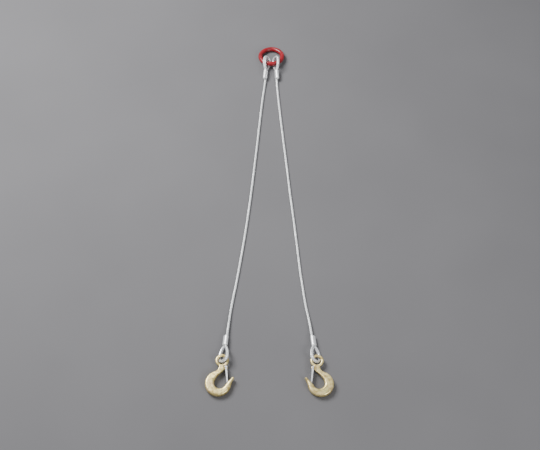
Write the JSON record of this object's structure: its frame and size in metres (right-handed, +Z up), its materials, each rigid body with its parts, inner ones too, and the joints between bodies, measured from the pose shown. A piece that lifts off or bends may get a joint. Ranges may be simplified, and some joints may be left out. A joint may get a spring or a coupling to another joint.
{
  "type": "two-leg wire rope sling",
  "caption": "Wire rope sling with a round master ring and two legs, each with thimbled eyes, pressed ferrules and an eye hook with a safety latch.",
  "frame": {"origin": "on the surface that the sling lies on, under the middle of the sling", "axes": "+Y from the hooks to the master ring, +Z up, +X across the legs"},
  "size_m": [0.3224, 1.1412, 0.0309],
  "materials": {
    "ring_red": "glossy red paint, worn where the eyes run",
    "rope_zinc": "galvanised wire strands",
    "thimble_zinc": "bright galvanised sheet",
    "ferrule_alloy": "pressed aluminium, dull",
    "hook_gold": "forged steel, pale yellow zinc finish",
    "latch_zinc": "bright zinc-plated sheet",
    "pin_steel": "zinc-plated rivet",
    "spring_steel": "bare spring steel"
  },
  "bodies": {
    "master_ring": {"master_ring": "ring_red"},
    "left_leg": {"left_rope": "rope_zinc", "left_upper_eye": "rope_zinc", "left_lower_eye": "rope_zinc", "left_upper_thimble": "thimble_zinc", "left_lower_thimble": "thimble_zinc", "left_upper_ferrule": "ferrule_alloy", "left_lower_ferrule": "ferrule_alloy"},
    "left_hook": {"left_hook": "hook_gold", "left_latch_pin": "pin_steel"},
    "left_latch": {"left_latch": "latch_zinc", "left_latch_spring": "spring_steel"},
    "right_leg": {"right_rope": "rope_zinc", "right_upper_eye": "rope_zinc", "right_lower_eye": "rope_zinc", "right_upper_thimble": "thimble_zinc", "right_lower_thimble": "thimble_zinc", "right_upper_ferrule": "ferrule_alloy", "right_lower_ferrule": "ferrule_alloy"},
    "right_hook": {"right_hook": "hook_gold", "right_latch_pin": "pin_steel"},
    "right_latch": {"right_latch": "latch_zinc", "right_latch_spring": "spring_steel"}
  },
  "joints": [
    {"name": "left_leg_spread", "type": "hinge", "parent": "master_ring", "child": "left_leg", "pos_m": [-0.00047, 0.53187, 0.01088], "axis": [0, 0, -1], "range_deg": [-2, 15]},
    {"name": "left_hook_swing", "type": "hinge", "parent": "left_leg", "child": "left_hook", "pos_m": [-0.11976, -0.4751, 0.01248], "axis": [0, -0.0541, 0.9985], "range_deg": [-30, 30]},
    {"name": "left_latch_open", "type": "hinge", "parent": "left_hook", "child": "left_latch", "pos_m": [-0.10926, -0.49458, 0.01142], "axis": [0, 0.0541, -0.9985], "range_deg": [0, 35], "stiffness_Nm_per_rad": 0.05, "springref_deg": -20.05},
    {"name": "right_leg_spread", "type": "hinge", "parent": "master_ring", "child": "right_leg", "pos_m": [-0.00047, 0.53187, 0.01088], "axis": [0, 0, 1], "range_deg": [-2, 15]},
    {"name": "right_hook_swing", "type": "hinge", "parent": "right_leg", "child": "right_hook", "pos_m": [0.11976, -0.47495, 0.01247], "axis": [0, 0.054, -0.9985], "range_deg": [-30, 30]},
    {"name": "right_latch_open", "type": "hinge", "parent": "right_hook", "child": "right_latch", "pos_m": [0.10926, -0.49442, 0.01141], "axis": [0, -0.054, 0.9985], "range_deg": [0, 35], "stiffness_Nm_per_rad": 0.05, "springref_deg": -20.05}
  ]
}
